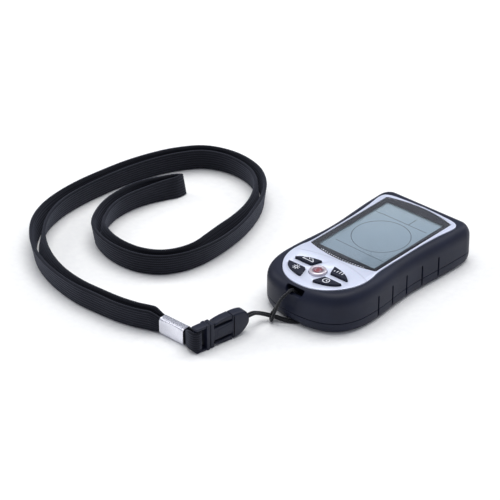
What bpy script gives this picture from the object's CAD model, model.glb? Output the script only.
# Handheld weather and altitude unit with a neck lanyard, dressed round its CAD frame.
# Sizes in the dictionaries are millimetres; every mesh is in metres, in the CAD's own frame.
import math
import bmesh
import bpy
import numpy as np
from functools import partial
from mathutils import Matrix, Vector


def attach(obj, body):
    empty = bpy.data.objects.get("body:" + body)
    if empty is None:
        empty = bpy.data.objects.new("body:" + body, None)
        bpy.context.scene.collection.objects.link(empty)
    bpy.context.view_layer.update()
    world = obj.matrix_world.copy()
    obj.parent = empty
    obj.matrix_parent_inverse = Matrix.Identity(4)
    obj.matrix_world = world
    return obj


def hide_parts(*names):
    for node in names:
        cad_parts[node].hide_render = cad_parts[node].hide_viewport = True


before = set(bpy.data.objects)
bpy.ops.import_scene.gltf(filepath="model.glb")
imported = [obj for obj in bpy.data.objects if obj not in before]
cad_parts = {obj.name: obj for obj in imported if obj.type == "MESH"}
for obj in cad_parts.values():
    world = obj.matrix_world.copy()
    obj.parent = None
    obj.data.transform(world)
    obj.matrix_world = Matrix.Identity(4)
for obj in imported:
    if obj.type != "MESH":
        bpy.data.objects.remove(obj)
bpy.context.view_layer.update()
mm = 0.001
print("frame loaded:", len(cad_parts), "nodes")


# ---- camera first, so that the cords are measured against its view

def standAt(name, data, setup):
    # A camera or a lamp, at its place and turned to its aim.
    holder = bpy.data.objects.new(name, data)
    bpy.context.scene.collection.objects.link(holder)
    place, aim = Vector(setup["place"]), Vector(setup["aim"])
    holder.location = place * mm
    holder.rotation_euler = (aim - place).to_track_quat("-Z", "Y").to_euler()
    return holder


view = {"place": (708.5, -878.3, 706.6), "aim": (-62.3, -15.3, -0.4), "lens": 190.8, "sensor": 36.0,
        "clipEnd": 20}
cameraData = bpy.data.cameras.new("viewCamera")
cameraData.lens = view["lens"]
cameraData.sensor_width = view["sensor"]
cameraData.clip_end = view["clipEnd"]
bpy.context.scene.camera = standAt("viewCamera", cameraData, view)


# ---- curves and outlines, as arrays

def throughPoints(points, count):
    # Centripetal Catmull-Rom: a cubic between each pair of points, with knots a root of a distance apart.
    points = np.asarray(points, float)
    ends = np.vstack([2 * points[0] - points[1], points, 2 * points[-1] - points[-2]])
    place = np.linspace(0, len(points) - 1, count)
    i = np.minimum(place.astype(int), len(points) - 2)
    t = (place - i)[:, None]
    before, start, stop, after = ends[i], ends[i + 1], ends[i + 2], ends[i + 3]
    gap0, gap1, gap2 = (np.sqrt(np.linalg.norm(b - a, axis=1))[:, None]
                        for a, b in ((before, start), (start, stop), (stop, after)))
    leave = gap1 * ((start - before) / gap0 - (stop - before) / (gap0 + gap1) + (stop - start) / gap1)
    arrive = gap1 * ((stop - start) / gap1 - (after - start) / (gap1 + gap2) + (after - stop) / gap2)
    square = -3 * start + 3 * stop - 2 * leave - arrive
    cube = 2 * start - 2 * stop + leave + arrive
    return start + leave * t + square * t ** 2 + cube * t ** 3


def evenly(points, count, closed=False):
    # The same line with its points an even distance apart.
    points = np.asarray(points, float)
    if closed:
        points = np.vstack([points, points[:1]])
    along = np.concatenate([[0], np.cumsum(np.linalg.norm(np.diff(points, axis=0), axis=1))])
    wanted = np.linspace(0, along[-1], count + 1)[:-1] if closed else np.linspace(0, along[-1], count)
    return np.stack([np.interp(wanted, along, points[:, k]) for k in range(points.shape[1])], axis=1)


def outward(outline):
    # The outward unit normal of a closed outline that runs anticlockwise.
    step = np.roll(outline, -1, axis=0) - np.roll(outline, 1, axis=0)
    normal = np.stack([step[:, 1], -step[:, 0]], axis=1)
    return normal / np.linalg.norm(normal, axis=1)[:, None]


def roundedCorners(corners, radius, steps=6):
    # Each corner becomes a quadratic curve that starts and ends a radius away from it.
    corners = np.asarray(corners, float)
    radius = np.broadcast_to(np.asarray(radius, float), len(corners))[:, None]
    back = np.roll(corners, 1, axis=0) - corners
    on = np.roll(corners, -1, axis=0) - corners
    first = corners + back / np.linalg.norm(back, axis=1)[:, None] * radius
    last = corners + on / np.linalg.norm(on, axis=1)[:, None] * radius
    t = np.linspace(0, 1, steps)[None, :, None]
    curve = (1 - t) ** 2 * first[:, None] + 2 * t * (1 - t) * corners[:, None] + t ** 2 * last[:, None]
    return curve.reshape(-1, 2)


def mirroredOutline(right):
    # A right-hand run from the lanyard end to the display end, closed by its mirror image.
    right = np.asarray(right, float)
    left = right[right[:, 0] > 1e-6][::-1] * (-1, 1)
    return np.vstack([right, left])


def smoothStep(x):
    x = np.clip(x, 0, 1)
    return x * x * (3 - 2 * x)


# ---- meshes from grids of points

def addPiece(name, mesh):
    piece = bpy.data.objects.new(name, mesh)
    bpy.context.scene.collection.objects.link(piece)
    return piece


def smoothFaces(piece, sharpAngle):
    piece.data.polygons.foreach_set("use_smooth", np.ones(len(piece.data.polygons), dtype=bool))
    piece.data.set_sharp_from_angle(angle=math.radians(sharpAngle))


def makePiece(name, grids, wrapRows=False, caps=False, uv=None, sharpAngle=32):
    # Each grid is rows by columns of points in millimetres, closed round its columns. A row that is one
    # repeated point closes an end, caps closes both ends flat, and wrapRows joins the last row to the first.
    points, faces, ends, base = [], [], [], 0
    for grid in grids:
        rows, cols = grid.shape[:2]
        index = base + np.arange(rows * cols).reshape(rows, cols)
        run = np.vstack([index, index[:1]]) if wrapRows else index
        beside = np.roll(run, -1, axis=1)
        faces.append(np.stack([run[:-1], beside[:-1], beside[1:], run[1:]], axis=-1).reshape(-1, 4))
        if caps:
            ends += [index[0][::-1], index[-1]]
        points.append(grid.reshape(-1, 3) * mm)
        base += rows * cols
    points, faces = np.concatenate(points), np.concatenate(faces)
    corners = np.concatenate([faces.ravel(), *ends]).astype(np.int32)
    sizes = np.concatenate([np.full(len(faces), 4), [len(end) for end in ends]]).astype(np.int32)
    mesh = bpy.data.meshes.new(name)
    mesh.vertices.add(len(points))
    mesh.vertices.foreach_set("co", points.astype(np.float32).ravel())
    mesh.loops.add(len(corners))
    mesh.loops.foreach_set("vertex_index", corners)
    mesh.polygons.add(len(sizes))
    mesh.polygons.foreach_set("loop_start", np.concatenate([[0], np.cumsum(sizes)[:-1]]).astype(np.int32))
    mesh.update(calc_edges=True)
    if uv is not None:  # rows by columns plus one, so that the seam has its own values
        patch = np.stack([uv[:-1, :-1], uv[:-1, 1:], uv[1:, 1:], uv[1:, :-1]], axis=2).reshape(-1, 2)
        flat = np.zeros((len(corners), 2))
        flat[:len(patch)] = patch
        mesh.uv_layers.new(name="along").data.foreach_set("uv", flat.astype(np.float32).ravel())
    piece = addPiece(name, mesh)
    tidyMesh(piece, sharpAngle)
    return piece


def tidyMesh(piece, sharpAngle=32):
    work = bmesh.new()
    work.from_mesh(piece.data)
    bmesh.ops.remove_doubles(work, verts=work.verts, dist=2e-7)
    bmesh.ops.recalc_face_normals(work, faces=work.faces)
    work.to_mesh(piece.data)
    work.free()
    smoothFaces(piece, sharpAngle)


def applied(piece):
    # The mesh with its modifiers worked in.
    graph = bpy.context.evaluated_depsgraph_get()
    done = bpy.data.meshes.new_from_object(piece.evaluated_get(graph))
    piece.modifiers.clear()
    piece.data = done


def carve(piece, cutter, operation="DIFFERENCE"):
    change = piece.modifiers.new("carve", "BOOLEAN")
    change.object = cutter
    change.operation = operation
    change.solver = "EXACT"
    applied(piece)
    bpy.data.objects.remove(cutter)


def softEdges(piece, width, angle, sharpAngle=40):
    # Narrow rounds on the carved edges, which catch a line of light.
    bevel = piece.modifiers.new("softEdges", "BEVEL")
    bevel.width = width * mm
    bevel.segments = 2
    bevel.limit_method = "ANGLE"
    bevel.angle_limit = math.radians(angle)
    bevel.use_clamp_overlap = True
    applied(piece)
    tidyMesh(piece, sharpAngle)


def joinPieces(name, pieces, sharpAngle=32):
    whole = bmesh.new()
    for piece in pieces:
        whole.from_mesh(piece.data)
        bpy.data.objects.remove(piece)
    mesh = bpy.data.meshes.new(name)
    whole.to_mesh(mesh)
    whole.free()
    piece = addPiece(name, mesh)
    smoothFaces(piece, sharpAngle)
    return piece


def standing(outline, rises):
    # An outline carried up through rises of (inset, height): each point moves in along its own normal.
    normal = outward(outline)
    rows = []
    for inset, z in rises:
        flat = outline - normal * np.broadcast_to(inset, len(outline))[:, None]
        rows.append(np.column_stack([flat, np.broadcast_to(z, len(outline))]))
    return np.stack(rows)


def roundedRises(z0, z1, radius, steps=4, bottom=True):
    # (inset, height) up a wall whose lower and upper edges are quarter circles.
    turn = np.linspace(0, math.pi / 2, steps + 1)
    low = [(radius * (1 - math.sin(a)), z0 + radius * (1 - math.cos(a))) for a in turn]
    high = [(radius * (1 - math.cos(a)), z1 - radius * (1 - math.sin(a))) for a in turn]
    return (low if bottom else [(0, z0)]) + high


def slab(name, outline, z0, z1, radius=0.0, steps=3, bottom=True):
    rises = roundedRises(z0, z1, radius, steps, bottom) if radius else [(0, z0), (0, z1)]
    return makePiece(name, [standing(outline, rises)], caps=True)


def crowned(name, outline, z0, z1, radius, crown, inner=(0.75, 0.5, 0.25), steps=4):
    # A slab whose top swells: rows shrink towards the middle while the height rises by crown times one
    # minus the shrink squared.
    rows = standing(outline, roundedRises(z0, z1, radius, steps, bottom=False))
    edge = rows[-1]
    middle = edge.mean(axis=0)
    top = [np.column_stack([middle[:2] + (edge[:, :2] - middle[:2]) * s,
                            np.full(len(edge), z1 + crown * (1 - s * s))]) for s in (*inner, 0)]
    foot = np.tile(np.append(middle[:2], z0), (len(edge), 1))
    return makePiece(name, [np.stack([foot, *rows, *top])])


def rectangle(x0, x1, y0, y1):
    return np.array([(x0, y0), (x1, y0), (x1, y1), (x0, y1)], float)


def box(name, x0, x1, y0, y1, z0, z1):
    return slab(name, rectangle(x0, x1, y0, y1), z0, z1)


def turned(name, profile, centre, sides=32):
    # A profile of (radius, height) turned round an upright axis.
    angle = np.linspace(0, 2 * math.pi, sides, endpoint=False)
    radius, height = np.array(profile, float).T
    grid = np.stack([
        centre[0] + radius[:, None] * np.cos(angle),
        centre[1] + radius[:, None] * np.sin(angle),
        np.broadcast_to(height[:, None], (len(height), sides)),
    ], axis=-1)
    return makePiece(name, [grid])


def ribbons(name, lines, halfWidth, z0, z1):
    # Flat printed strokes: a low rectangular section carried along each line, closed at both ends.
    grids = []
    for line in lines:
        line = np.asarray(line, float)
        step = np.gradient(line, axis=0)
        side = np.stack([-step[:, 1], step[:, 0]], axis=1)
        side *= halfWidth / np.linalg.norm(side, axis=1)[:, None]
        low, high = np.full(len(line), z0), np.full(len(line), z1)
        grid = np.stack([np.column_stack([line - side, low]), np.column_stack([line + side, low]),
                         np.column_stack([line + side, high]), np.column_stack([line - side, high])], axis=1)
        start, stop = grid[:1].mean(axis=1, keepdims=True), grid[-1:].mean(axis=1, keepdims=True)
        grids.append(np.concatenate([np.repeat(start, 4, 1), grid, np.repeat(stop, 4, 1)]))
    return makePiece(name, grids)


# ---- nodes and materials

def toLinear(hexColour):
    # A channel c becomes c / 12.92 when dark, and otherwise ((c + 0.055) / 1.055) to the power 2.4.
    c = np.array([int(hexColour[i:i + 2], 16) / 255 for i in (1, 3, 5)])
    linear = np.where(c <= 0.04045, c / 12.92, ((c + 0.055) / 1.055) ** 2.4)
    return (*[float(x) for x in linear], 1.0)


def setSockets(node, settings):
    for name, value in settings.items():
        node.inputs[name].default_value = toLinear(value) if isinstance(value, str) else value


def wire(node, links):
    # A source is a node, whose first output is meant, or a node and the output's name or number.
    for name, source in links.items():
        output = source[0].outputs[source[1]] if isinstance(source, tuple) else source.outputs[0]
        node.id_data.links.new(output, node.inputs[name])


def addNode(tree, kind, settings=None, links=None):
    # A setting named by a number or a capital is a socket, stops are a ramp's, and the rest are properties.
    node = tree.nodes.new("ShaderNode" + kind)
    for name, value in (settings or {}).items():
        if name == "stops":
            ramp = node.color_ramp.elements
            while len(ramp) < len(value):
                ramp.new(1)
            for element, (position, colour) in zip(ramp, value):
                element.position = position
                element.color = toLinear(colour)
        elif isinstance(name, int) or name[0].isupper():
            setSockets(node, {name: value})
        else:
            setattr(node, name, value)
    wire(node, links or {})
    return node


def newMaterial(name, settings):
    # The material, its shader, addNode for its tree, and the object coordinates; constants go straight on
    # the shader.
    material = bpy.data.materials.new(name)
    material.use_nodes = True
    tree = material.node_tree
    shader = tree.nodes["Principled BSDF"]
    setSockets(shader, settings)
    return material, shader, partial(addNode, tree), (addNode(tree, "TexCoord"), "Object")


def speckled(name, settings, size, detail, deep, pale):
    # One finish with an uneven tone: noise of the given size in millimetres, between two colours.
    material, shader, add, coords = newMaterial(name, settings)
    speck = add("TexNoise", {"Scale": 1 / (size * mm), "Detail": detail}, {"Vector": coords})
    wire(shader, {"Base Color": add("ValToRGB", {"stops": [(0.3, deep), (0.7, pale)]}, {"Fac": speck})})
    return material


def distanceFrom(add, coords, y):
    # How far a point lies, seen from above, from the upright axis at x 0 and this y.
    centred = add("VectorMath", {"operation": "SUBTRACT", 1: (0, y * mm, 0)}, {0: coords})
    level = add("VectorMath", {"operation": "MULTIPLY", 1: (1, 1, 0)}, {0: centred})
    return (add("VectorMath", {"operation": "LENGTH"}, {0: level}), "Value")


def dress(piece, material):
    piece.data.materials.clear()
    piece.data.materials.append(material)


def onNode(name, material):
    # A CAD node keeps its mesh and takes a better material.
    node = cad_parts[name]
    for slot in node.material_slots:
        slot.link = "OBJECT"
        slot.material = material


def mouldedPlastic(name, look):
    # Injection-moulded ABS or acetal, spark-eroded tool: an even satin with a fine grain. The grain is
    # drawn at 0.3 to 0.6 mm, coarser than the real one, so that it shows at all.
    material, shader, add, coords = newMaterial(name, {
        "IOR": look["ior"], "Specular IOR Level": look["specular"], "Roughness": look["roughness"]})
    broad = add("TexNoise", {"Scale": 1 / (14 * mm), "Detail": 2.0}, {"Vector": coords})
    grain = add("TexNoise", {"Scale": 1 / (look["grain"] * mm), "Detail": 3.0, "Roughness": 0.6},
                    {"Vector": coords})
    tone = add("ValToRGB", {"stops": [(0.3, look["deep"]), (0.7, look["pale"])]}, {"Fac": broad})
    rough = add("MapRange", {"From Min": 0.3, "From Max": 0.7, "To Min": look["roughness"] - 0.04,
                                       "To Max": look["roughness"] + 0.05}, {"Value": grain})
    bump = add("Bump", {"Strength": look["bump"], "Distance": 0.02 * mm}, {"Height": grain})
    wire(shader, {"Base Color": tone, "Roughness": rough, "Normal": bump})
    return material


caseBlack = mouldedPlastic("blackAbsSatin", {
    "deep": "#161a2b", "pale": "#1b2033", "ior": 1.5, "specular": 0.24, "roughness": 0.47,
    "grain": 0.45, "bump": 0.35})
buckleBlack = mouldedPlastic("blackAcetalMoulded", {
    "deep": "#141829", "pale": "#191e30", "ior": 1.48, "specular": 0.3, "roughness": 0.38,
    "grain": 0.6, "bump": 0.2})
keyBlack = mouldedPlastic("blackKeyAbs", {
    "deep": "#161a2a", "pale": "#1b2032", "ior": 1.5, "specular": 0.22, "roughness": 0.5,
    "grain": 0.4, "bump": 0.3})
print("plastics made")


# ---- cord

cordSettings = {"radius": 0.7, "rows": 620, "sides": 16}
cordPair = np.array([
    [-13.5, -71.9, 7.8, 0.84, -0.13, 0], [-13.4, -67.6, 7.3, 0.85, -0.05, 0],
    [-13.2, -64.4, 5.9, 0.83, -0.2, 0],
    [-12.2, -61.2, 4.3, 0.72, -0.45, 0], [-10.2, -58.6, 3, 0.6, -0.6, 0], [-7.6, -56.4, 2, 0.5, -0.7, 0],
    [-4.6, -54.8, 1.25, 0.4, -0.75, 0], [-1.6, -53.2, 0.95, 0.4, -0.75, 0], [1, -51.4, 0.95, 0.6, -0.6, 0],
    [3.2, -49.4, 2.2, 0.85, -0.1, 0], [3.9, -48.5, 5.4, 0.85, 0, 0], [3.5, -48.1, 9, 0.8, -0.1, 0.05],
    [1.2, -48.2, 12.4, 0.7, -0.3, 0.15], [-1.6, -49, 15, 0.5, -0.45, 0.33],
    [-2.6, -50.7, 17.3, 0.45, -0.5, 0.4], [-2.6, -52.8, 17.95, 0.45, -0.5, 0.4],
    [-2.5, -55, 17.3, 0.45, -0.5, 0.4], [-3.7, -56.8, 15.5, 0.46, -0.52, 0.36],
    [-5.2, -57.9, 12.6, 0.5, -0.55, 0.2], [-6.6, -58.3, 9.2, 0.6, -0.6, 0.05], [-7.9, -58.5, 6.2, 1, -1, 0],
    [-8.9, -58.6, 4, 1.6, -1.6, 0], [-9.5, -58.6, 2.4, 1.75, -1.75, 0], [-9.9, -58.6, 1.05, 1, -1, 0]])
cordTip = np.array([[-9.95, -58.65, 0.8]])


def cordRoute():
    # Two runs, the pair's middle less and plus half the step between them, joined by the loop's tip.
    middle, half = cordPair[:, :3], cordPair[:, 3:]
    return np.vstack([middle - half, cordTip, (middle + half)[::-1]])


def tube(path, radius, sides, along):
    # A circle carried along the path, in a frame that turns as little as it can, with both ends closed.
    ahead = np.gradient(path, axis=0)
    ahead /= np.linalg.norm(ahead, axis=1)[:, None]
    side = np.zeros_like(ahead)
    side[0] = np.cross(ahead[0], (0, 0, 1))
    side[0] /= np.linalg.norm(side[0])
    for i in range(1, len(path)):
        flat = side[i - 1] - ahead[i] * np.dot(side[i - 1], ahead[i])
        side[i] = flat / np.linalg.norm(flat)
    up = np.cross(ahead, side)
    angle = np.linspace(0, 2 * math.pi, sides, endpoint=False)
    radius = np.broadcast_to(radius, len(path))[:, None, None]
    ring = side[:, None] * np.cos(angle)[None, :, None] + up[:, None] * np.sin(angle)[None, :, None]
    grid = path[:, None] + ring * radius
    ends = np.repeat(path[[0, -1]][:, None], sides, axis=1)
    grid = np.concatenate([ends[:1], grid, ends[1:]])
    u = np.concatenate([along[:1], along, along[-1:]])
    v = np.linspace(0, 1, sides + 1)
    uv = np.stack(np.broadcast_arrays(u[:, None], v[None, :]), axis=-1)
    return grid, uv


cordLine = evenly(throughPoints(cordRoute(), 4000), cordSettings["rows"])
cordAlong = np.concatenate([[0], np.cumsum(np.linalg.norm(np.diff(cordLine, axis=0), axis=1))])
cordGrid, cordUv = tube(cordLine, cordSettings["radius"], cordSettings["sides"], cordAlong * mm)
cordPiece = makePiece("lanyardCord", [cordGrid], uv=cordUv, sharpAngle=60)
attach(cordPiece, "unit")
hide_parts("cord_loop")
print("cord", round(cordAlong[-1], 1), "mm")


def braidedCord():
    # Braided polyester: four strands each way, so the surface is a lattice of small slanted humps, dry
    # and dark with a faint sheen. UV is metres along and turns round; a strand crosses every 1.6 mm.
    material, shader, add, coords = newMaterial("blackBraidedCord", {
        "Roughness": 0.72, "Specular IOR Level": 0.3, "Sheen Weight": 0.25, "Sheen Roughness": 0.45})
    parts = add("SeparateXYZ", links={"Vector": (coords[0], "UV")})
    along = add("Math", {"operation": "MULTIPLY", 1: 2 * math.pi / (1.6 * mm)}, {0: (parts, "X")})
    turns = add("Math", {"operation": "MULTIPLY", 1: 2 * math.pi * 4}, {0: (parts, "Y")})
    lattice = []
    for way in ("ADD", "SUBTRACT"):
        phase = add("Math", {"operation": way}, {0: along, 1: turns})
        lattice.append(add("Math", {"operation": "SINE"}, {0: phase}))
    height = add("Math", {"operation": "MAXIMUM"}, {0: lattice[0], 1: lattice[1]})
    tone = add("ValToRGB", {"stops": [(0.0, "#06070c"), (1.0, "#15171f")]}, {"Fac": height})
    bump = add("Bump", {"Strength": 0.6, "Distance": 0.08 * mm}, {"Height": height})
    wire(shader, {"Base Color": tone, "Normal": bump})
    return material


dress(cordPiece, braidedCord())


# ---- webbing

# What the strip goes through and round: the crimp, and the bar that the buckle's own frame starts from.
crimp = {"left": -42.1, "right": -26.4, "y": -101.2, "half": 2.8, "bottom": 0.3, "top": 9.5, "metal": 0.4,
         "corner": 1.9}
bar = {"x": -18.6, "y": -103.2, "turn": math.radians(-9), "radius": 1.1}
webbing = {"width": 12.0, "thickness": 1.5, "offFloor": 0.15, "corner": 0.72, "rows": 1300, "sides": 64,
           "ribs": 8, "ribDepth": 0.11, "layerPitch": 1.55, "barGap": 0.3, "gatherRun": 7, "barRun": 5,
           "foldStart": 6, "foldRun": 26}
strapPair = np.array([
    [-47.6, -103.1, 1.7], [-56, -106.2, 1.8], [-66, -108.3, 1.8], [-78, -109.2, 1.7], [-91, -109.6, 1.75],
    [-104, -107.9, 1.8], [-117, -104.2, 2], [-129, -98.6, 2.2], [-140.2, -90.4, 2.3], [-149.3, -80, 2.4],
    [-155.5, -67.6, 2.3], [-158.6, -53.5, 2.1], [-159.1, -38.5, 2], [-158, -23, 1.9], [-155.8, -8, 1.9],
    [-151.6, 7, 1.9], [-145.5, 20.5, 1.9], [-137.2, 31, 1.9], [-126, 35.9, 1.85], [-113.5, 36.3, 1.85],
    [-101.2, 32.7, 1.8], [-91, 25, 1.8], [-83.4, 14.4, 1.9], [-77.9, 2.2, 2], [-74.1, -10.8, 2.4],
    [-72.3, -23.5, 2.7], [-71.5, -33.5, 2.5], [-71.7, -43.5, 2], [-74.2, -53.5, 1.85], [-80, -62.4, 1.85],
    [-89.5, -68, 1.85], [-101, -69.7, 1.85], [-113, -68, 1.85], [-124, -62.6, 1.85], [-131, -52.8, 1.9],
    [-135.4, -41, 2], [-136.2, -28.4, 2.2], [-134.3, -16.4, 2.5], [-130.9, -6.6, 2.4], [-128, 0, 2.1]])
strapFold = np.array([[-126.5, 3.8, 1.8]])


def barLoop():
    # The strip's way round the buckle's bar, from the crimp and back into it.
    radius = bar["radius"] + webbing["barGap"] + webbing["thickness"] / 2
    angle = np.radians([110, 55, 0, -50, -100])
    ring = np.array((bar["x"], bar["y"])) + radius * np.stack([np.cos(angle), np.sin(angle)], axis=1)
    return np.vstack([[[-23.3, -99.5]], ring, [[-22, -104.5], [-24.9, -102.5]]])


def strapRoute():
    # The doubled strip: each run lies half the space from the pair's middle, and the layers meet in the
    # crimp. Its third value is that half space, and 1 in the crimp and round the bar.
    middle, half = strapPair[:, :2], strapPair[:, 2:]
    padded = np.vstack([middle[:1], middle, middle[-1:]])
    along = padded[2:] - padded[:-2]
    along /= np.linalg.norm(along, axis=1)[:, None]
    normal = np.stack([-along[:, 1], along[:, 0]], axis=1)
    thirds = np.linspace(0, 1, 4)[:, None]
    left, right, y, pitch = crimp["left"], crimp["right"], crimp["y"], webbing["layerPitch"]

    def inCrimp(start, stop, at):
        return np.hstack([start + thirds * (stop - start), np.full((4, 1), at), np.full((4, 1), 1.0)])

    return np.vstack([
        inCrimp(right - 3, left, y - pitch), np.hstack([middle + half * normal, half]), strapFold,
        np.hstack([middle - half * normal, half])[::-1], inCrimp(left, right, y + pitch),
        np.hstack([barLoop(), np.ones((8, 1))]), inCrimp(right - 1, left + 1, y)])


def strapShape():
    # A flat tube standing on its edge: a rounded rectangle with lengthwise ribs, carried along the route. Its
    # height and middle ease into the crimp and round the bar, and slow waves lean and lift it a little.
    route = evenly(throughPoints(strapRoute(), 9000), webbing["rows"])
    line, spread = route[:, :2], route[:, 2]
    step = np.linalg.norm(np.diff(line, axis=0), axis=1)
    along = np.concatenate([[0], np.cumsum(step)])
    ahead = np.gradient(line, axis=0)
    ahead /= np.linalg.norm(ahead, axis=1)[:, None]
    side = np.stack([-ahead[:, 1], ahead[:, 0]], axis=1)
    halfWidth, halfDepth = webbing["width"] / 2, webbing["thickness"] / 2

    def runTo(chosen):
        # How far along the strip each row is from the nearest chosen one.
        return np.abs(along[:, None] - along[chosen][None]).min(axis=1)

    inside = ((line[:, 0] > crimp["left"]) & (line[:, 0] < crimp["right"])
              & (np.abs(line[:, 1] - crimp["y"]) < crimp["half"] + 0.5))
    gather = 1 - smoothStep(runTo(inside) / webbing["gatherRun"])
    nearBar = np.hypot(line[:, 0] - bar["x"], line[:, 1] - bar["y"]) < 4
    atBar = (1 - smoothStep(runTo(nearBar) / webbing["barRun"])) * (1 - gather)
    free = 1 - np.maximum(gather, atBar)
    halfHeight = halfWidth - 2.0 * gather - 0.85 * atBar
    middle = halfWidth + webbing["offFloor"] - 1.25 * gather + 0.65 * atBar
    middle = middle + free * 0.12 * (1 + np.sin(along / 23))
    toFold = np.abs(along - along[np.linalg.norm(line - strapFold[0, :2], axis=1).argmin()])
    atFold = 1 - smoothStep((toFold - webbing["foldStart"]) / webbing["foldRun"])
    wave = 0.15 * np.sin(along / 31 + 0.6) + 0.1 * np.sin(along / 11.7)
    # the two runs nearly touch at the floor and part upwards, except at the fold, which parts downwards
    lean = free * (np.clip(spread - 1.05, 0, 1.6) + wave - 1.7 * atFold)
    corners = rectangle(-halfWidth, halfWidth, -halfDepth, halfDepth)
    section = evenly(roundedCorners(corners, webbing["corner"], 7), webbing["sides"], closed=True)
    across, depth = section[:, 0] / halfWidth, section[:, 1]
    ribbed = depth + np.sign(depth) * (np.abs(across) < 0.93) * webbing["ribDepth"] * (
        np.abs(np.sin(across * math.pi * webbing["ribs"] / 2)) - 0.6)
    puff = 1 + (0.2 + 0.08 * np.sin(along / 7.3 + 1)) * free
    z = middle[:, None] + across[None] * halfHeight[:, None]
    offset = ribbed[None] * puff[:, None] + lean[:, None] * (z - halfWidth) / halfWidth
    grid = np.concatenate([line[:, None] + side[:, None] * offset[..., None], z[..., None]], axis=-1)
    ends = np.repeat(grid[[0, -1]].mean(axis=1, keepdims=True), webbing["sides"], axis=1)
    grid = np.concatenate([ends[:1], grid, ends[1:]])
    u = np.concatenate([along[:1], along, along[-1:]]) * mm
    v = np.concatenate([section[:, 0], section[:1, 0]]) * mm
    uv = np.stack(np.broadcast_arrays(u[:, None], v[None]), axis=-1)
    path = np.column_stack([line, middle])
    return grid, uv, path, along[-1]


strapGrid, strapUv, strapPath, strapLength = strapShape()
strapPiece = makePiece("neckWebbing", [strapGrid], uv=strapUv, sharpAngle=75)
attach(strapPiece, "neck_lanyard")
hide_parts("neck_webbing")
print("webbing", round(strapLength, 1), "mm")


def ribbedWebbing():
    # Woven polyester webbing: lengthwise ribs with fine cross threads between them, near black, dry, with a
    # faint sheen on the fibre ends. UV is metres along and across. The cross threads, 0.5 mm apart on the
    # real one, are drawn 1 mm apart so that they show.
    material, shader, add, coords = newMaterial("blackRibbedWebbing", {
        "Roughness": 0.85, "Specular IOR Level": 0.2, "Sheen Weight": 0.35, "Sheen Roughness": 0.5,
        "Sheen Tint": "#9aa0b4"})
    parts = add("SeparateXYZ", links={"Vector": (coords[0], "UV")})
    ribPhase = add("Math", {"operation": "MULTIPLY", 1: 2 * math.pi / (1.5 * mm)}, {0: (parts, "Y")})
    rib = add("Math", {"operation": "SINE"}, {0: ribPhase})
    threadPhase = add("Math", {"operation": "MULTIPLY", 1: 2 * math.pi / (1.0 * mm)}, {0: (parts, "X")})
    shifted = add("Math", {"operation": "ADD"}, {0: threadPhase, 1: ribPhase})
    thread = add("Math", {"operation": "SINE"}, {0: shifted})
    woven = add("Math", {"operation": "MULTIPLY_ADD", 1: 0.5}, {0: thread, 2: rib})
    fluff = add("TexNoise", {"Scale": 1 / (0.9 * mm), "Detail": 4.0}, {"Vector": coords})
    wear = add("TexNoise", {"Scale": 1 / (25 * mm), "Detail": 2.0}, {"Vector": coords})
    mixed = add("Math", {"operation": "MULTIPLY_ADD", 1: 1.2}, {0: fluff, 2: woven})
    tone = add("MapRange", {"From Min": -1.0, "From Max": 2.4}, {"Value": mixed})
    dark = add("ValToRGB", {"stops": [(0.1, "#0a0b11"), (0.9, "#20222e")]}, {"Fac": tone})
    worn = add("Mix", {"data_type": "RGBA", "blend_type": "MULTIPLY", 0: 0.5},
                   {6: dark, 7: wear})
    bump = add("Bump", {"Strength": 0.55, "Distance": 0.14 * mm}, {"Height": mixed})
    wire(shader, {"Base Color": (worn, 2), "Normal": bump})
    return material


dress(strapPiece, ribbedWebbing())


# ---- floor and lights

# Seamless white paper, with a faint tooth.
paperFloor = speckled("whitePaperFloor", {"Roughness": 0.9, "Specular IOR Level": 0.1}, 10 / 3, 3.0,
                      "#f8f8f7", "#fdfdfb")
floorHalf = 3000
floor = box("floor", -floorHalf, floorHalf, -floorHalf, floorHalf, -2, 0)
dress(floor, paperFloor)

lights = {
    "overhead": {"place": (-150, 250, 1500), "aim": (-60, 0, 0), "size": 1500, "power": 17.5},
    "leftWindow": {"place": (-1300, -500, 900), "aim": (-40, -20, 0), "size": 900, "power": 5.5},
    "backStrip": {"place": (300, 1400, 900), "aim": (-20, 0, 0), "size": 900, "power": 6},
}
for name, setup in lights.items():
    lamp = bpy.data.lights.new(name, "AREA")
    lamp.shape = "DISK"
    lamp.size = setup["size"] * mm
    lamp.energy = setup["power"]
    standAt(name, lamp, setup)
world = bpy.data.worlds.new("softRoom")
world.use_nodes = True
setSockets(world.node_tree.nodes["Background"], {"Color": "#eef2ff", "Strength": 0.42})
bpy.context.scene.world = world
bpy.context.scene.view_settings.view_transform = "Standard"
print("floor and lights set")


# ---- case outline

caseSettings = {"end": 54, "half": 29, "waist": 27.1, "waistY": 5, "endDepth": 27, "fullness": 0.7,
                "cornerX": 7.5, "cornerY": 8, "columns": 560, "parting": 6.3, "partingGap": 0.08,
                "shoulder": 14.5, "rim": 21.1, "inset": 5.0, "wall": 1.8, "seat": 20.3}
keySettings = {"centreY": -35.2, "ringX": 17.5, "ringUpper": 8.2, "ringLower": 9.2, "halfGap": 2.1,
               "innerX": 6.2, "tipX": 3.9, "top": 22.9, "foot": 17.4, "ledge": 18.6}
grips = {"count": 5, "firstY": -23, "pitch": 12, "innerHalf": 0.45, "outerHalf": 0.85, "bite": 0.95,
         "reach": 4, "low": 2.6, "high": 13.8}
passage = {"left": -6.2, "right": 6.2, "mouthFoot": 16.4, "mouthTop": 19.9}


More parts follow.
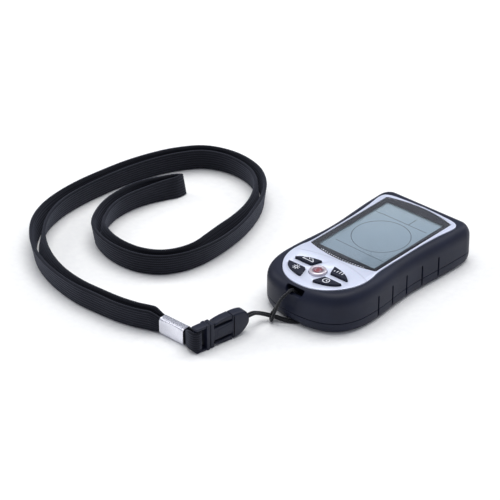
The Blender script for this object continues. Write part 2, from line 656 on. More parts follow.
def caseOutline():
    # A cubic round at the lanyard end, shallow waists, and rounded corners at the display end.
    s = caseSettings
    t = np.linspace(0, 1, 60)[:, None]

    def bend(a, b, c, d):
        a, b, c, d = (np.array(p, float) for p in (a, b, c, d))
        return (1 - t) ** 3 * a + 3 * t * (1 - t) ** 2 * b + 3 * t ** 2 * (1 - t) * c + t ** 3 * d

    startY = s["endDepth"] - s["end"]
    lanyardEnd = bend((0, -s["end"]), (s["fullness"] * s["half"], -s["end"]),
                      (s["half"], startY - s["fullness"] * s["endDepth"]), (s["half"], startY))
    waist = (s["waist"], s["waistY"])
    lower = bend((s["half"], startY), (s["half"], -15), (s["waist"], -8), waist)
    upper = bend(waist, (s["waist"], 18), (s["half"], 27), (s["half"], s["end"] - s["cornerY"]))
    turn = np.linspace(0, math.pi / 2, 50)
    corner = np.stack([s["half"] - s["cornerX"] + s["cornerX"] * np.cos(turn),
                       s["end"] - s["cornerY"] + s["cornerY"] * np.sin(turn)], 1)
    right = np.vstack([lanyardEnd, lower[1:], upper[1:], corner[1:], [(0, s["end"])]])
    return evenly(mirroredOutline(right), s["columns"], closed=True)


plateRight = [
    [0, -49.8], [4.8, -49.4], [9.2, -48], [13.6, -45.4], [17.6, -41.4], [20.6, -37], [22.6, -32], [23.4, -27],
    [23.1, -21], [22.1, -15.6], [21.9, 8], [22.1, 20], [22.9, 31], [23.9, 38.5], [24.1, 42], [23.2, 44.8],
    [20.6, 46.4], [12, 47.5], [0, 48.1]]


def plateOutline(columns, grow=0.0):
    # A smooth line through the plate's points, mirrored, and moved outwards by grow.
    right = throughPoints(plateRight, 400)
    outline = evenly(mirroredOutline(right), columns, closed=True)
    return outline + outward(outline) * grow


windowShape = {"half": 20.85, "low": -16.05, "high": 43.6, "sag": 3.4, "columns": 220}


def windowOutline(grow=0.0):
    # Straight sides with a parabola across each end.
    s = windowShape
    half, low, high, sag = s["half"] + grow, s["low"] - grow, s["high"] + grow, s["sag"]
    across = np.linspace(-half, half, 60)
    bottom = np.stack([across, low - sag * (1 - (across / half) ** 2)], 1)
    top = np.stack([across[::-1], high + sag * (1 - (across[::-1] / half) ** 2)], 1)
    return evenly(np.vstack([bottom, top]), s["columns"], closed=True)


def keyOutline(signX, signY, grow=0.0, columns=96):
    # A quarter of the key ellipse with its corners rounded, the inner side hollowed round the middle key.
    s = keySettings
    ringY = s["ringUpper"] if signY > 0 else s["ringLower"]
    first = math.asin(s["halfGap"] / ringY)
    last = math.acos(s["tipX"] / s["ringX"])
    angle = np.linspace(first, last, 40)
    arc = np.stack([s["ringX"] * np.cos(angle), ringY * np.sin(angle)], 1)
    inner = np.array([(s["innerX"], s["halfGap"])])
    outline = evenly(np.vstack([inner, arc]), 600, closed=True)
    reach = 18  # a running mean over twice this many points rounds the corners
    weights = np.hanning(2 * reach + 1)
    wrapped = np.vstack([outline[-reach:], outline, outline[:reach]])
    soft = np.stack([np.convolve(wrapped[:, k], weights / weights.sum(), "valid") for k in (0, 1)], 1)
    soft = evenly(soft, columns, closed=True)
    soft = soft + outward(soft) * grow
    soft = soft * (signX, signY) + (0, s["centreY"])
    return soft[::-1] if signX * signY < 0 else soft


def circle(x, y, radius, sides=64):
    angle = np.linspace(0, 2 * math.pi, sides, endpoint=False)
    return np.stack([x + radius * np.cos(angle), y + radius * np.sin(angle)], 1)


def gripCutters(name):
    # Upright slots in each side wall, following the waist and wider outwards.
    s, grids = grips, []
    for i in range(s["count"]):
        y = s["firstY"] + s["pitch"] * i
        bulge = 1.9 * (1 - math.cos(math.pi * (y - caseSettings["waistY"]) / 38)) * 0.5
        inner = caseSettings["waist"] + bulge - s["bite"]
        outer = inner + s["reach"]
        for side in (-1, 1):
            corners = np.array([(inner, y - s["innerHalf"]), (outer, y - s["outerHalf"]),
                                (outer, y + s["outerHalf"]), (inner, y + s["innerHalf"])]) * (side, 1)
            corners = corners[::-1] if side < 0 else corners
            grids.append(standing(corners, [(0, s["low"]), (0, s["high"])]))
    return makePiece(name, grids, caps=True)


def passageCutters():
    # The lanyard's shaft, its mouth in the shoulder, which widens outwards, and the notch at the foot.
    low, high = passage["mouthFoot"], passage["mouthTop"]
    shaft = box("shaft", passage["left"], passage["right"], -51.2, -46.6, -1, 18.4)
    corners = [(-5.4, low), (4.9, low), (5.9, high), (-5.9, high)]
    mouthShape = roundedCorners(corners, (2.2, 2.2, 1.1, 1.1), 7)
    rows = []
    for y, widen, lift, drop in ((-48.4, 0.97, 1, 0), (-50.6, 0.97, 1.02, 0), (-51.6, 0.98, 1.2, 0),
                                 (-53.0, 1.0, 1.22, 0.15), (-54.4, 1.06, 1.25, 0.5), (-60, 1.4, 1.3, 2.2)):
        height = low - drop + (mouthShape[:, 1] - low) * lift
        rows.append(np.column_stack([mouthShape[:, 0] * widen, np.full(len(mouthShape), y), height]))
    mouth = makePiece("mouth", [np.stack(rows)], caps=True)
    notch = box("notch", -5.2, 4.4, -56, -47.6, -1, 2.5)
    return [shaft, mouth, notch]


def rayTo(outline, target):
    # For each outline point, how far its inward normal runs before it crosses the target outline.
    start, way = outline[:, None], -outward(outline)[:, None]
    a = target[None]
    edge = np.roll(target, -1, axis=0)[None] - a
    cross = way[..., 0] * edge[..., 1] - way[..., 1] * edge[..., 0]
    cross = np.where(np.abs(cross) < 1e-9, 1e-9, cross)
    gap = a - start
    t = (gap[..., 0] * edge[..., 1] - gap[..., 1] * edge[..., 0]) / cross
    u = (gap[..., 0] * way[..., 1] - gap[..., 1] * way[..., 0]) / cross
    t = np.where((u >= -1e-6) & (u <= 1 + 1e-6) & (t > 0), t, np.inf)
    return t.min(axis=1)


# ---- upper case

def upperCase():
    # One closed wall round the case: up the side, over a quarter-ellipse shoulder to the plate's recess, down
    # to the plate's seat, in under the plate, and back down the inner side to the parting line.
    s = caseSettings
    outline = caseOutline()
    reach = rayTo(outline, plateOutline(900, 0.3))
    share = 1 - np.cos(np.linspace(0, math.pi / 2, 20))
    edge = s["parting"] + s["partingGap"]
    rises = [(0.28, edge), (0.08, edge + 0.12), (0, edge + 0.42)]
    rises += [(0, z) for z in np.linspace(7.6, s["shoulder"], 7)]
    for w in share[1:]:
        inset = reach * w
        under = np.clip(1 - inset / s["inset"], 0, 1)
        rises.append((inset, s["shoulder"] + (s["rim"] - s["shoulder"]) * np.sqrt(1 - under ** 2)))
    rises += [(reach, s["seat"]), (reach + 1.6, s["seat"]), (reach + 1.6, s["seat"] - 0.9), (5.2, 18.4),
              (s["wall"] + 0.6, 15.5), (s["wall"], 13), (s["wall"], edge)]
    grid = standing(outline, rises)
    # the cord's scoop under the mouth, a shallow hollow in the end wall
    scoop = np.exp(-((grid[..., 0] + 2.2) / 4.2) ** 2) * (grid[..., 1] < -40)
    scoop = scoop * smoothStep((grid[..., 2] - 6.6) / 3) * smoothStep((18.6 - grid[..., 2]) / 4)
    scoop[len(rises) - 7:] = 0
    grid[..., :2] -= outward(outline)[None] * (0.75 * scoop)[..., None]
    piece = makePiece("upperShell", [grid], wrapRows=True)
    carve(piece, box("passageWall", -7.4, 7.4, -51.9, -45.4, edge, 18.6), "UNION")
    for cutter in passageCutters():
        carve(piece, cutter)
    carve(piece, gripCutters("gripSlots"))
    tidyMesh(piece, 34)
    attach(piece, "unit")
    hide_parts("upper_case")
    dress(piece, caseBlack)
    return piece


upperShell = upperCase()
print("upper case", len(upperShell.data.polygons), "faces")


# ---- lower case, battery door and screws

def lowerSolid(top):
    # The back's outer form: a flat foot and a quarter-ellipse edge, wider and higher at the case's two ends.
    outline = caseOutline()
    lanyardEnd = smoothStep((-24 - outline[:, 1]) / 26)
    displayEnd = smoothStep((outline[:, 1] - 36) / 16)
    inset = 2.8 + 1.2 * lanyardEnd + 0.2 * displayEnd
    height = 4.4 + 1.1 * lanyardEnd + 0.9 * displayEnd
    turn = np.linspace(0, math.pi / 2, 11)
    rises = [(inset * (1 - math.sin(a)), height * (1 - math.cos(a))) for a in turn]
    return standing(outline, rises + top)


def doorCutter():
    face = box("doorFace", -13.5, 13.5, -9.8, 60, -1, 1.8)
    tongue = box("doorTongue", -14.5, 14.5, -9.8, 60, 0.6, 1.8)
    return [face, tongue]


screwPlaces = [(-23.9, -24), (23.9, -24), (-23.9, 41), (23.9, 41)]


def lowerCase():
    s = caseSettings
    edge = s["parting"] - s["partingGap"]
    grid = lowerSolid([(0, 5.6), (0, edge - 0.4), (0.08, edge - 0.12), (0.28, edge), (s["wall"], edge),
                       (s["wall"], 3.2), (s["wall"] + 1.4, s["wall"])])
    piece = makePiece("lowerShell", [grid], caps=True)
    carve(piece, box("tray", -12.5, 12.5, -8.2, 47.2, 1, 13.8), "UNION")
    carve(piece, box("passageWall", -7.4, 7.4, -52.2, -45.4, 1, edge), "UNION")
    for cutter in [*doorCutter(), box("cells", -11.3, 11.3, -7, 46, 0.5, 13), *passageCutters(),
                   gripCutters("gripSlots")]:
        carve(piece, cutter)
    for x, y in screwPlaces:
        carve(piece, slab("screwHole", circle(x, y, 2.2, 40), -1, 2.4))
    tidyMesh(piece, 34)
    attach(piece, "unit")
    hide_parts("lower_case")
    dress(piece, caseBlack)
    return piece


def batteryDoor():
    # A flat panel with a wider tongue above it, trimmed to the foot's rounded edge, with four grip bars.
    door = box("doorPanel", -13.2, 13.2, -9.5, 60, 0.15, 1.5)
    carve(door, box("doorTongue", -14.2, 14.2, -9.5, 60, 0.9, 1.5), "UNION")
    carve(door, makePiece("foot", [lowerSolid([(0, 6)])], caps=True), "INTERSECT")
    for i in range(4):
        y = 38 + 2.4 * i
        groove = roundedCorners(rectangle(-5, 5, y, y + 1), 0.45, 6)
        carve(door, slab("grip", groove, -1, 0.6))
    arrow = np.array([(-2.2, 33.2), (2.2, 33.2), (0, 35.6)])
    carve(door, slab("arrow", arrow, -1, 0.45))
    softEdges(door, 0.14, angle=38)
    door.name = "batteryDoor"
    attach(door, "battery_door")
    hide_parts("battery_door")
    dress(door, caseBlack)


lowerShell = lowerCase()
batteryDoor()
print("lower case", len(lowerShell.data.polygons), "faces")


def platedSteel(name, look):
    # Zinc or nickel-plated steel: bright, with fine tool lines along one way and soft stains.
    material, shader, add, coords = newMaterial(name, {"Metallic": 1.0, "Roughness": look["roughness"]})
    place = add("Mapping", {"Scale": look["stretch"]}, {"Vector": coords})
    lines = add("TexNoise", {"Scale": 1 / (look["line"] * mm), "Detail": 3.0}, {"Vector": place})
    stain = add("TexNoise", {"Scale": 1 / (6 * mm), "Detail": 2.0}, {"Vector": coords})
    tone = add("ValToRGB", {"stops": [(0.3, look["deep"]), (0.7, look["pale"])]}, {"Fac": stain})
    rough = add("MapRange", {"From Min": 0.3, "From Max": 0.7, "To Min": look["roughness"] - 0.05,
                                       "To Max": look["roughness"] + 0.08}, {"Value": lines})
    bump = add("Bump", {"Strength": look["bump"], "Distance": 0.01 * mm}, {"Height": lines})
    wire(shader, {"Base Color": tone, "Roughness": rough, "Normal": bump})
    return material


zincSteel = platedSteel("zincPlatedSteel", {"deep": "#a4a7ac", "pale": "#cfd2d6", "roughness": 0.3,
                                            "line": 0.3, "stretch": (1, 1, 1), "bump": 0.3})
nickelSteel = platedSteel("nickelSpringSteel", {"deep": "#b4b0a8", "pale": "#dcdad4", "roughness": 0.22,
                                                "line": 0.25, "stretch": (1, 8, 1), "bump": 0.2})
screwProfile = [(0, 1), (1.35, 1), (1.7, 1.12), (1.9, 1.4), (1.9, 2.2), (0.8, 2.2), (0.8, 11.4), (0, 11.8)]
slotLong, slotWide = 1.15, 0.26  # half the length and half the width of each arm of the cross slot
for i, (x, y) in enumerate(screwPlaces):
    screw = turned("caseScrew%d" % (i + 1), screwProfile, (x, y))
    for a, b in ((slotLong, slotWide), (slotWide, slotLong)):
        carve(screw, box("slot", x - a, x + a, y - b, y + b, 0, 1.65))
    tidyMesh(screw, 30)
    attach(screw, "unit")
    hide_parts("case_screw_%d" % (i + 1))
    dress(screw, zincSteel)


# ---- face plate

def silverPaint():
    # Silver metallic lacquer on moulded ABS: pale, slightly blue, fine flake, under a thin clear coat. The
    # soft step between the key pad and the window's surround is a parabola across the plate.
    material, shader, add, coords = newMaterial("silverLacquer", {
        "Metallic": 0.3, "Roughness": 0.36, "Coat Weight": 0.25, "Coat Roughness": 0.15})
    flake = add("TexVoronoi", {"Scale": 1 / (0.3 * mm)}, {"Vector": coords})
    broad = add("TexNoise", {"Scale": 1 / (18 * mm), "Detail": 1.0}, {"Vector": coords})
    base = add("ValToRGB", {"stops": [(0.3, "#d6dcf0"), (0.7, "#e1e7f8")]}, {"Fac": broad})
    glint = add("Mix", {"data_type": "RGBA", "blend_type": "OVERLAY", 0: 0.12},
                    {6: base, 7: (flake, "Color")})
    parts = add("SeparateXYZ", links={"Vector": coords})
    square = add("Math", {"operation": "MULTIPLY"}, {0: (parts, "X"), 1: (parts, "X")})
    arc = add("Math", {"operation": "MULTIPLY_ADD", 1: 0.0094 / mm}, {0: square, 2: (parts, "Y")})
    rise = add("MapRange", {"interpolation_type": "SMOOTHSTEP", "From Min": -21.4 * mm,
                                      "From Max": -20.2 * mm, "To Min": 1.0, "To Max": 0.0}, {"Value": arc})
    tooth = add("TexNoise", {"Scale": 1 / (0.5 * mm), "Detail": 2.0}, {"Vector": coords})
    peel = add("Bump", {"Strength": 0.12, "Distance": 0.01 * mm}, {"Height": tooth})
    step = add("Bump", {"Strength": 1.0, "Distance": 0.3 * mm},
                   {"Height": rise, "Normal": peel})
    wire(shader, {"Base Color": (glint, 2), "Normal": step})
    return material


keySigns = {"key_upper_left": (-1, 1), "key_upper_right": (1, 1), "key_lower_left": (-1, -1),
            "key_lower_right": (1, -1)}
plate = slab("facePlate", plateOutline(420), 20.35, 21.6, 0.35, 4, bottom=False)
carve(plate, slab("windowHole", windowOutline(0.22), 19, 23))
for signX, signY in keySigns.values():
    carve(plate, slab("keyHole", keyOutline(signX, signY, 0.28), 19, 23))
carve(plate, slab("middleHole", circle(0, keySettings["centreY"], 4.7), 19, 23))
softEdges(plate, 0.13, angle=50)
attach(plate, "unit")
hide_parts("face_plate")
dress(plate, silverPaint())
print("face plate", len(plate.data.polygons), "faces")


# ---- window, frame print and display

def clearAcrylic():
    # Cast acrylic: clear and glossy, with faint duller patches.
    material, shader, add, coords = newMaterial("clearAcrylic", {
        "Base Color": "#fbfdfd", "Transmission Weight": 1.0, "IOR": 1.49, "Specular IOR Level": 0.1,
        "Roughness": 0.02})
    scuff = add("TexNoise", {"Scale": 1 / (9 * mm), "Detail": 6.0}, {"Vector": coords})
    rough = add("MapRange", {"From Min": 0.5, "From Max": 0.8, "To Min": 0.01, "To Max": 0.06},
                    {"Value": scuff})
    wire(shader, {"Roughness": rough})
    return material


def framePrint():
    # Screen-printed black border behind the window, with a plain row of white marks along its lower edge.
    material, shader, add, coords = newMaterial("blackBorderPrint", {
        "Roughness": 0.5, "Specular IOR Level": 0.08})
    parts = add("SeparateXYZ", links={"Vector": coords})
    square = add("Math", {"operation": "MULTIPLY"}, {0: (parts, "X"), 1: (parts, "X")})
    bow = -windowShape["sag"] / (windowShape["half"] ** 2 * mm)  # the window's own parabola
    sag = add("Math", {"operation": "MULTIPLY_ADD", 1: bow}, {0: square, 2: (parts, "Y")})
    off = add("Math", {"operation": "ADD", 1: 17.95 * mm}, {0: sag})
    near = add("Math", {"operation": "COMPARE", 1: 0.0, 2: 0.42 * mm}, {0: off})
    reach = add("Math", {"operation": "COMPARE", 1: 0.0, 2: 13.5 * mm}, {0: (parts, "X")})
    beat = add("Math", {"operation": "PINGPONG", 1: 0.75 * mm}, {0: (parts, "X")})
    mark = add("Math", {"operation": "LESS_THAN", 1: 0.24 * mm}, {0: beat})
    both = add("Math", {"operation": "MULTIPLY"}, {0: near, 1: mark})
    shown = add("Math", {"operation": "MULTIPLY"}, {0: both, 1: reach})
    grain = add("TexNoise", {"Scale": 1 / (0.5 * mm), "Detail": 2.0}, {"Vector": coords})
    ink = add("ValToRGB", {"stops": [(0.3, "#0d0f18"), (0.7, "#12151f")]}, {"Fac": grain})
    tone = add("Mix", {"data_type": "RGBA", 7: "#c9ccd6"}, {0: shown, 6: ink})
    wire(shader, {"Base Color": (tone, 2)})
    return material


def segmentDisplay():
    # Reflective segment display behind glass: grey-green, a little paler towards the far left, with the thin
    # dark lines that part its fields and the ring that goes round its middle.
    material, shader, add, coords = newMaterial("greySegmentDisplay", {
        "Roughness": 0.35, "Specular IOR Level": 0.12})
    parts = add("SeparateXYZ", links={"Vector": coords})

    def line(axis, at, other, middle, half):
        on = add("Math", {"operation": "COMPARE", 1: at * mm, 2: 0.17 * mm}, {0: (parts, axis)})
        within = add("Math", {"operation": "COMPARE", 1: middle * mm, 2: half * mm}, {0: (parts, other)})
        return add("Math", {"operation": "MULTIPLY"}, {0: on, 1: within})

    ringAt = distanceFrom(add, coords, 13.7)
    marks = add("Math", {"operation": "COMPARE", 1: 14.9 * mm, 2: 0.17 * mm}, {0: ringAt})
    for one in (line("Y", -3.6, "X", 0, 15), line("Y", 31, "X", -1.2, 16.2), line("X", 3.3, "Y", 34.3, 3.3)):
        marks = add("Math", {"operation": "MAXIMUM"}, {0: marks, 1: one})
    slope = add("Math", {"operation": "MULTIPLY_ADD", 1: -0.8}, {0: (parts, "X"), 2: (parts, "Y")})
    shade = add("MapRange", {"From Min": -30 * mm, "From Max": 55 * mm}, {"Value": slope})
    cloud = add("TexNoise", {"Scale": 1 / (12 * mm), "Detail": 1.0}, {"Vector": coords})
    drift = add("Math", {"operation": "MULTIPLY_ADD", 1: 0.12}, {0: cloud, 2: shade})
    ground = add("ValToRGB", {"stops": [(0.0, "#6b7986"), (0.6, "#768592"), (1.0, "#84929d")]},
                 {"Fac": drift})
    tone = add("Mix", {"data_type": "RGBA", 7: "#20282f"}, {0: marks, 6: ground})
    wire(shader, {"Base Color": (tone, 2)})
    return material


lens = slab("displayWindow", windowOutline(), 20.7, 21.5, 0.18, 3, bottom=False)
lens.visible_shadow = False  # light reaches the display as it does through thin acrylic
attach(lens, "unit")
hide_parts("display_lens")
dress(lens, clearAcrylic())
border = slab("windowBorder", windowOutline(-0.2), 20.4, 20.6)
carve(border, slab("displayHole", roundedCorners(rectangle(-18.1, 18.1, -13.9, 41), 0.5, 5), 19, 22))
tidyMesh(border, 30)
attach(border, "unit")
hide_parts("lens_gasket")
dress(border, framePrint())
onNode("lcd_panel", segmentDisplay())
print("window made")


# ---- keys and their symbols

# Pad-printed inks: the white one is flat and opaque, the red one translucent over the plated disc.
inkWhite = speckled("whitePadInk", {"Roughness": 0.6, "Specular IOR Level": 0.3}, 0.4, 2.0,
                    "#cdd0d8", "#e6e8ee")
inkRed = speckled("redPadInk", {"Roughness": 0.4, "Specular IOR Level": 0.4}, 0.3, 2.0, "#8e3039", "#a8434b")
symbolPlaces = {"key_upper_left": (-9.6, -30.1), "key_upper_right": (9.6, -30.1),
                "key_lower_left": (-9.6, -40.3), "key_lower_right": (9.6, -40.3)}
arcAngle = np.linspace(0, 2 * math.pi, 33)
ring = np.stack([np.cos(arcAngle), np.sin(arcAngle)], 1)
symbols = {  # generic strokes about each key's middle: peaks, bars, sun and clock
    "key_upper_left": [[(-3.2, -1.1), (-1.2, 1.2), (0.2, -0.4), (1.3, 0.8), (3.2, -1.1)],
                       [(-3.4, -1.5), (3.4, -1.5)]],
    "key_upper_right": [[(x, -1.2), (x, top)]
                        for x, top in ((-2.6, -0.2), (-1, 0.4), (0.6, 0.9), (2.2, 1.3))],
    "key_lower_left": [ring * 0.85] + [[(1.35 * c, 1.35 * s), (1.95 * c, 1.95 * s)] for c, s in ring[2:-1:4]],
    "key_lower_right": [ring * 1.7, [(0, 1.05), (0, 0), (0.95, -0.35)]],
}
keyTop, keyY = keySettings["top"], keySettings["centreY"]
for name, (signX, signY) in keySigns.items():
    label = "".join(part.capitalize() for part in name.split("_")[1:])
    cap = crowned("key" + label, keyOutline(signX, signY), keySettings["ledge"], keyTop - 0.12, 0.45, 0.12)
    flange = slab("keyFlange", keyOutline(signX, signY, 0.9), keySettings["foot"], 18.62)
    key = joinPieces("key" + label + "Cap", [cap, flange], 40)
    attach(key, name)
    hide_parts(name)
    dress(key, keyBlack)
    x, y = symbolPlaces[name]
    lines = [throughPoints(np.array(line, float) + (x, y), 2 * len(line) - 1) if len(line) > 8
             else np.array(line, float) + (x, y) for line in symbols[name]]
    sign = ribbons("sign" + label, lines, 0.24, keyTop - 0.16, keyTop + 0.03)
    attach(sign, name)
    dress(sign, inkWhite)


def rosePlating():
    # The middle key: a bright plated ring round a satin rose disc that darkens towards a red symbol. Rings
    # are drawn by the distance from the key's axis.
    material, shader, add, coords = newMaterial("platedRoseKey", {"Metallic": 0.55, "Roughness": 0.28})
    radius = distanceFrom(add, coords, keySettings["centreY"])
    share = add("MapRange", {"From Min": 0.0, "From Max": 4.4 * mm}, {"Value": radius})
    bands = add("ValToRGB", {"stops": [
        (0.0, "#a88088"), (0.14, "#96525c"), (0.2, "#bb9fa8"), (0.42, "#a3868f"), (0.6, "#86727d"),
        (0.68, "#cbc0c8"), (1.0, "#d9d2da")]}, {"Fac": share})
    spin = add("TexNoise", {"Scale": 1 / (0.35 * mm), "Detail": 2.0}, {"Vector": coords})
    bump = add("Bump", {"Strength": 0.15, "Distance": 0.01 * mm}, {"Height": spin})
    wire(shader, {"Base Color": bands, "Normal": bump})
    return material


middleProfile = [(0, 17.4), (5, 17.4), (5, 18.6), (4.4, 18.6), (4.4, 22.45), (4.3, 22.72), (4.05, 22.9),
                 (3.75, 22.98), (3.4, 22.98), (3.1, 22.9), (2.85, 22.7), (2.7, 22.5), (2.4, 22.42),
                 (1.2, 22.55), (0, 22.6)]
middleKey = turned("keyMiddle", middleProfile, (0, keyY), 64)
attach(middleKey, "key_centre")
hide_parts("key_centre")
dress(middleKey, rosePlating())
wave = [np.stack([r * np.cos(a), keyY + r * np.sin(a)], 1)
        for r, a in ((1.75, np.linspace(0.6, 2.54, 12)), (1.75, np.linspace(3.74, 5.68, 12)),
                     (0.75, arcAngle))]
middleSign = ribbons("signMiddle", wave, 0.2, 22.4, 22.62)
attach(middleSign, "key_centre")
dress(middleSign, inkRed)
print("keys made")


# ---- buckle

def atBuckle(grid):
    # From the buckle's own frame, Y along it towards the cord, into the model's.
    c, s = math.cos(bar["turn"]), math.sin(bar["turn"])
    x, y, z = grid[..., 0], grid[..., 1], grid[..., 2]
    return np.stack([bar["x"] + c * x - s * y, bar["y"] + s * x + c * y, z], axis=-1)


def sideways(corners, half, radius, edge):
    # A side view of (Y, Z) corners, rounded, made thick along X with rounded edges.
    outline = evenly(roundedCorners(corners, radius, 5), 120, closed=True)
    grid = standing(outline, roundedRises(-half, half, edge, 4))
    return atBuckle(np.stack([grid[..., 2], grid[..., 0], grid[..., 1]], axis=-1))


def upright(corners, z0, z1, radius, edge, steps=4):
    outline = evenly(roundedCorners(corners, radius, steps), 72, closed=True)
    return atBuckle(standing(outline, roundedRises(z0, z1, edge, 3)))


def bucklePiece(name, node, grids, body):
    piece = makePiece(name, grids, caps=True, sharpAngle=38)
    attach(piece, body)
    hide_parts(node)
    dress(piece, buckleBlack)
    return piece


nose = [(20.7, 0.4), (24.5, 0.5), (28, 2), (31.2, 5.6), (31.2, 9.6), (29, 13), (25, 13.9), (20.7, 13.9)]
plugPiece = bucklePiece("bucklePlug", "buckle_plug", [
    sideways(nose, 2.8, (0.4, 1.7, 1.9, 1.5, 1.5, 1.7, 1.9, 0.4), 1.1),
    sideways(rectangle(8.6, 23, 3.6, 10.4), 2.3, 0.3, 0.3),
    sideways(rectangle(7.1, 9.3, 0.3, 13.8), 2.7, 0.45, 0.4),
    sideways(rectangle(4.9, 7.4, 4.6, 9.4), 1.0, 0.2, 0.15),
    sideways([(11.5, 5.0), (21.5, 4.4), (21.5, 9.6), (11.5, 9.0)], 2.5, 1.2, 0.25),
], "unit")
leverView = [(10, 11.8), (14, 11.9), (20.4, 11.6), (20.4, 13.95), (15, 13.95), (10.7, 13.2), (10, 12.6)]
leverRound = (0.3, 1.5, 0.2, 0.2, 2.2, 0.5, 0.3)
for name, node, turnedOver in (("leverUpper", "buckle_lever_upper", False),
                               ("leverLower", "buckle_lever_lower", True)):
    corners = [(y, 14.1 - z) for y, z in leverView][::-1] if turnedOver else leverView
    rounds = leverRound[::-1] if turnedOver else leverRound
    bucklePiece(name, node, [sideways(corners, 2.45, rounds, 0.4)], node)
socketPiece = bucklePiece("buckleSocket", "buckle_socket", [
    upright(circle(0, 0, 1.1, 24), 0.6, 13.5, 0.3, 0.2, 2),
    upright(rectangle(-2.3, 2.3, -1.3, 5.6), 12.5, 13.9, 1.0, 0.45),
    upright(rectangle(-2.3, 2.3, -1.3, 5.6), 0.2, 1.2, 1.0, 0.3),
    sideways(rectangle(4.7, 6.8, 0.1, 14), 2.8, 0.45, 0.45),
], "neck_lanyard")
print("buckle made")


# ---- crimp

def crimpSleeve():
    # A folded sheet-metal sleeve: a rounded rectangle of sheet carried along X and turned back inside, its
    # ends flared a little and its faces drawn in slightly at the middle.
    s = crimp
    corners = rectangle(-s["half"], s["half"], s["bottom"], s["top"])
    outer = evenly(roundedCorners(corners, s["corner"], 8), 96, closed=True)
    normal = outward(outer)
    rows = []
    out = np.linspace(s["left"], s["right"], 24)
    for depth, xs in ((0.0, out), (s["metal"], out[::-1])):
        for x in xs:
            t = 2 * (x - s["left"]) / (s["right"] - s["left"]) - 1
            pinch = 0.16 * (1 - t * t) ** 2 * (np.abs(normal[:, 0]) > 0.9)
            lip = -0.06 * smoothStep((abs(t) - 0.93) / 0.07)
            flat = outer - normal * (depth + pinch + lip)[:, None]
            rows.append(np.column_stack([np.full(len(flat), x), s["y"] + flat[:, 0], flat[:, 1]]))
    piece = makePiece("crimpSleeve", [np.stack(rows)], wrapRows=True, sharpAngle=45)
    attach(piece, "neck_lanyard")
    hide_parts("crimp")
    return piece


crimpPiece = crimpSleeve()
dress(crimpPiece, platedSteel("brightNickelCrimp", {
    "deep": "#dedfe8", "pale": "#ececf4", "roughness": 0.26, "line": 0.5, "stretch": (1, 1, 6),
    "bump": 0.15}))


# ---- materials of the inner CAD nodes

def solderMask():
    # Fibreglass board under green solder mask: paler outlines in cells of 2.54 mm stand for its traces.
    material, shader, add, coords = newMaterial("greenSolderMask", {
        "Roughness": 0.35, "Specular IOR Level": 0.5})
    cells = add("TexVoronoi", {"distance": "MANHATTAN", "feature": "F1", "Scale": 1 / (2.54 * mm)},
                    {"Vector": coords})
    edge = add("Math", {"operation": "COMPARE", 1: 0.55, 2: 0.06}, {0: (cells, "Distance")})
    tone = add("Mix", {"data_type": "RGBA", 6: "#17492f", 7: "#2f7a4b"}, {0: edge})
    bump = add("Bump", {"Strength": 0.3, "Distance": 0.03 * mm}, {"Height": edge})
    wire(shader, {"Base Color": (tone, 2), "Normal": bump})
    return material


def foilWrap():
    # An alkaline cell's printed foil sleeve: a plain green barrel with a dark band towards one end.
    material, shader, add, coords = newMaterial("greenCellFoil", {"Metallic": 0.35, "Roughness": 0.3})
    parts = add("SeparateXYZ", links={"Vector": coords})
    span = add("MapRange", {"From Min": -8 * mm, "From Max": 47 * mm}, {"Value": (parts, "Y")})
    band = add("ValToRGB", {"stops": [
        (0.16, "#c9c6bd"), (0.17, "#2f6a45"), (0.62, "#2f6a45"), (0.63, "#1c2420"), (0.85, "#1c2420"),
        (0.86, "#c9c6bd")]}, {"Fac": span})
    dents = add("TexNoise", {"Scale": 1 / (4 * mm), "Detail": 2.0}, {"Vector": coords})
    bump = add("Bump", {"Strength": 0.1, "Distance": 0.05 * mm}, {"Height": dents})
    wire(shader, {"Base Color": band, "Normal": bump})
    return material


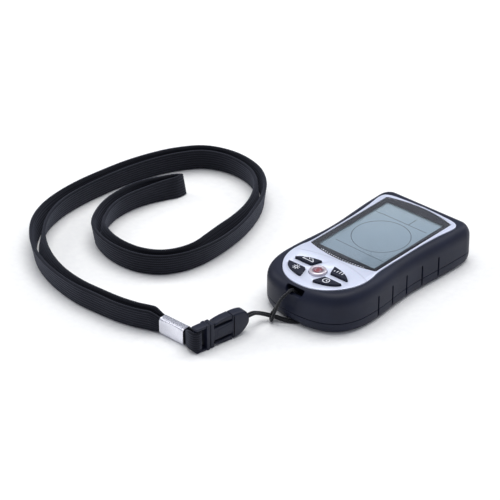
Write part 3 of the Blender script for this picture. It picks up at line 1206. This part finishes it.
def zebraRubber():
    # Silicone: matt grey with fine dark conducting layers about every 1 mm.
    material, shader, add, coords = newMaterial("greySiliconeRubber", {
        "Roughness": 0.75, "Specular IOR Level": 0.3})
    layers = add("TexWave", {"Scale": 1 / (3.2 * mm), "Distortion": 0.3}, {"Vector": coords})
    tone = add("ValToRGB", {"stops": [(0.2, "#4b4e55"), (0.8, "#666a72")]}, {"Fac": (layers, "Fac")})
    wire(shader, {"Base Color": tone})
    return material


def rolledBrass():
    # Rolled brass disc of a sounder: warm, satin, with faint rolling lines.
    material, shader, add, coords = newMaterial("rolledBrass", {"Metallic": 1.0, "Roughness": 0.32})
    place = add("Mapping", {"Scale": (1, 9, 1)}, {"Vector": coords})
    lines = add("TexNoise", {"Scale": 1 / (1.5 * mm), "Detail": 3.0}, {"Vector": place})
    tone = add("ValToRGB", {"stops": [(0.3, "#b3924a"), (0.7, "#cfae66")]}, {"Fac": lines})
    wire(shader, {"Base Color": tone})
    return material


whiteHolder = mouldedPlastic("whiteHolderAbs", {
    "deep": "#d6d6d0", "pale": "#e2e2dd", "ior": 1.5, "specular": 0.4, "roughness": 0.5,
    "grain": 0.5, "bump": 0.2})
chipEpoxy = mouldedPlastic("blackChipEpoxy", {
    "deep": "#101113", "pale": "#17181b", "ior": 1.5, "specular": 0.4, "roughness": 0.45,
    "grain": 0.3, "bump": 0.3})
greenMask, cellFoil, greyRubber, brassDisc = solderMask(), foilWrap(), zebraRubber(), rolledBrass()
innerFinishes = {
    "circuit_board": greenMask, "lcd_holder": whiteHolder, "lcd_strip_near": greyRubber,
    "lcd_strip_far": greyRubber, "keypad_mat": greyRubber, "controller_chip": chipEpoxy,
    "heading_sensor": chipEpoxy, "pressure_sensor": zincSteel, "clock_crystal": nickelSteel,
    "sounder": brassDisc, "cell_left": cellFoil, "cell_right": cellFoil, "spring_contact_left": nickelSteel,
    "spring_contact_right": nickelSteel, "plate_contact_left": nickelSteel,
    "plate_contact_right": nickelSteel}
for name, material in innerFinishes.items():
    onNode(name, material)
print("inner nodes dressed")


# ---- what the cords are, and the sizes

bpy.context.view_layer.update()
print("sizes written")
